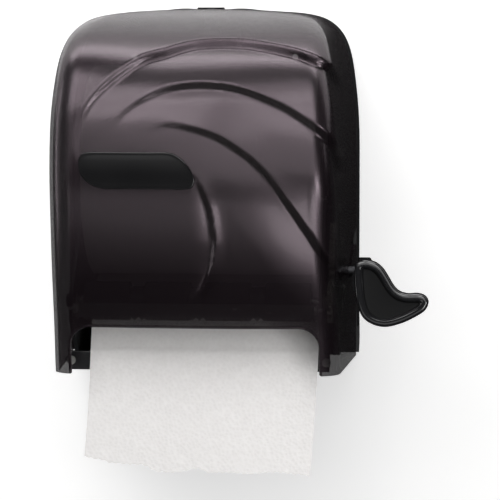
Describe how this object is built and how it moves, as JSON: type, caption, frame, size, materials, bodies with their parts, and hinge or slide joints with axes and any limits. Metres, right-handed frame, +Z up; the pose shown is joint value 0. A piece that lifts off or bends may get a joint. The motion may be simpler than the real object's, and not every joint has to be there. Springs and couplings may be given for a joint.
{
  "type": "paper towel dispenser",
  "caption": "Wall towel dispenser: smoke-tinted hinged cover with stepped waves, side lever, geared feed roller, sprung pinch roller, tear bar and a hanging paper towel.",
  "frame": {"origin": "The middle of the wall fixing: centre of the four screw holes, on the back plane of the rear housing.", "axes": "X runs along the wall with +X at the lever side, +Y points into the wall, and +Z is up. The front looks along -Y."},
  "size_m": [0.3395, 0.2324, 0.4141],
  "materials": {
    "rear_housing": "satin black moulded ABS with a fine grain",
    "hinge_pins": "drawn steel pin",
    "cover": "smoke tinted translucent styrene, glossy, with stepped waves",
    "badge": "bare glossy black insert",
    "lock_sleeve": "plated zinc sleeve",
    "lock_nut": "zinc plated round nut",
    "lock_barrel": "plated zinc plug with a key way",
    "lock_cam": "stamped zinc plated steel",
    "lock_striker": "black moulded acetal",
    "striker_screw": "zinc plated pan head screw",
    "left_side_frame": "black moulded ABS",
    "right_side_frame": "black moulded ABS",
    "frame_screws": "zinc plated pan head screws",
    "bottom_rail": "glossy black moulded ABS",
    "rail_screws": "zinc plated pan head screws",
    "tear_bar": "toothed stainless steel strip",
    "tear_bar_screws": "zinc plated pan head screws",
    "right_roll_arm": "black moulded ABS",
    "right_roll_hub": "dark grey moulded acetal",
    "left_roll_arm": "black moulded ABS",
    "left_roll_hub": "dark grey moulded acetal",
    "arm_bracket": "black moulded ABS",
    "arm_screws": "zinc plated pan head screws",
    "arm_pivot_pin": "drawn steel pin",
    "roll_core": "brown card tube",
    "paper_roll": "wound white towel paper",
    "feed_roller_shaft": "turned steel shaft",
    "feed_roller_core": "black moulded core",
    "feed_grip_sleeves": "soft ground rubber",
    "feed_bushes": "natural acetal",
    "lever_bush": "natural acetal",
    "pinch_carrier": "black moulded ABS",
    "pinch_shaft": "turned steel shaft",
    "pinch_roller": "black moulded core",
    "pinch_grip_sleeves": "soft ground rubber",
    "return_spring": "spring wire",
    "carrier_springs": "spring wire",
    "sector_gear": "natural acetal",
    "drive_pinion": "natural acetal",
    "one_way_clutch": "ground steel clutch ring",
    "shaft_collar": "dark grey moulded acetal",
    "gear_cover": "black moulded ABS",
    "gear_cover_screws": "zinc plated pan head screws",
    "lever_shaft": "turned steel shaft",
    "shaft_clip": "spring steel retaining ring",
    "lever_screw": "zinc plated pan head screw",
    "lever": "black moulded lever, satin dish with a polished rim",
    "towel_web": "single ply embossed towel paper",
    "towel_sheet": "single ply embossed towel paper"
  },
  "bodies": {
    "root": {"rear_housing": "rear_housing", "hinge_pins": "hinge_pins", "lock_striker": "lock_striker", "striker_screw": "striker_screw", "left_side_frame": "left_side_frame", "right_side_frame": "right_side_frame", "frame_screws": "frame_screws", "bottom_rail": "bottom_rail", "rail_screws": "rail_screws", "tear_bar": "tear_bar", "tear_bar_screws": "tear_bar_screws", "right_roll_arm": "right_roll_arm", "right_roll_hub": "right_roll_hub", "arm_bracket": "arm_bracket", "arm_screws": "arm_screws", "arm_pivot_pin": "arm_pivot_pin", "feed_bushes": "feed_bushes", "lever_bush": "lever_bush", "return_spring": "return_spring", "carrier_springs": "carrier_springs", "gear_cover": "gear_cover", "gear_cover_screws": "gear_cover_screws", "towel_web": "towel_web"},
    "cover": {"cover": "cover", "badge": "badge", "lock_sleeve": "lock_sleeve", "lock_nut": "lock_nut"},
    "lock": {"lock_barrel": "lock_barrel", "lock_cam": "lock_cam"},
    "lever": {"lever": "lever", "lever_shaft": "lever_shaft", "sector_gear": "sector_gear", "lever_screw": "lever_screw", "shaft_clip": "shaft_clip"},
    "drive": {"drive_pinion": "drive_pinion", "one_way_clutch": "one_way_clutch"},
    "feed_roller": {"feed_roller_shaft": "feed_roller_shaft", "feed_roller_core": "feed_roller_core", "feed_grip_sleeves": "feed_grip_sleeves", "shaft_collar": "shaft_collar"},
    "pinch_carrier": {"pinch_carrier": "pinch_carrier", "pinch_shaft": "pinch_shaft"},
    "pinch_roller": {"pinch_roller": "pinch_roller", "pinch_grip_sleeves": "pinch_grip_sleeves"},
    "paper_roll": {"roll_core": "roll_core", "paper_roll": "paper_roll"},
    "roll_arm": {"left_roll_arm": "left_roll_arm", "left_roll_hub": "left_roll_hub"},
    "towel": {"towel_sheet": "towel_sheet"}
  },
  "joints": [
    {"name": "cover_hinge", "type": "hinge", "parent": "root", "child": "cover", "pos_m": [0, -0.02, -0.163], "axis": [1, 0, 0], "range_deg": [0, 90]},
    {"name": "lock_turn", "type": "hinge", "parent": "cover", "child": "lock", "pos_m": [0, -0.036, 0.135], "axis": [0, 0, -1], "range_deg": [0, 90]},
    {"name": "lever_swing", "type": "hinge", "parent": "root", "child": "lever", "pos_m": [0.125, -0.0876, -0.0911], "axis": [1, 0, 0], "range_deg": [0, 65], "stiffness_Nm_per_rad": 0.9, "springref_deg": -20.05},
    {"name": "drive_spin", "type": "hinge", "parent": "root", "child": "drive", "pos_m": [0.117, -0.15197, -0.11301], "axis": [1, 0, 0], "range_deg": [-211.25, 0]},
    {"name": "feed_roller_spin", "type": "hinge", "parent": "root", "child": "feed_roller", "pos_m": [0, -0.15197, -0.11301], "axis": [1, 0, 0], "range_deg": [-211.25, 0]},
    {"name": "carrier_swing", "type": "hinge", "parent": "root", "child": "pinch_carrier", "pos_m": [0, -0.09, -0.135], "axis": [1, 0, 0], "range_deg": [0, 10], "stiffness_Nm_per_rad": 0.6, "springref_deg": -17.19},
    {"name": "pinch_roller_spin", "type": "hinge", "parent": "pinch_carrier", "child": "pinch_roller", "pos_m": [0, -0.12559, -0.12241], "axis": [1, 0, 0], "range_deg": [0, 342.02]},
    {"name": "roll_spin", "type": "hinge", "parent": "root", "child": "paper_roll", "pos_m": [0, -0.114, 0.001], "axis": [1, 0, 0], "range_deg": [-38.62, 0]},
    {"name": "towel_feed", "type": "slide", "parent": "root", "child": "towel", "axis": [0, 0, -1], "range_m": [0, 0.06268], "deforming": ["towel_sheet"]},
    {"name": "roll_arm_swing", "type": "hinge", "parent": "root", "child": "roll_arm", "pos_m": [-0.1009, -0.012, 0.001], "axis": [0, 0, -1], "range_deg": [0, 7]}
  ],
  "couplings": [
    {"joint": "drive_spin", "follows": "lever_swing", "ratio": -3.25},
    {"joint": "feed_roller_spin", "follows": "lever_swing", "ratio": -3.25},
    {"joint": "pinch_roller_spin", "follows": "lever_swing", "ratio": 5.2619},
    {"joint": "roll_spin", "follows": "lever_swing", "ratio": -0.59409},
    {"joint": "towel_feed", "follows": "lever_swing", "m_per_rad": 0.05525}
  ]
}
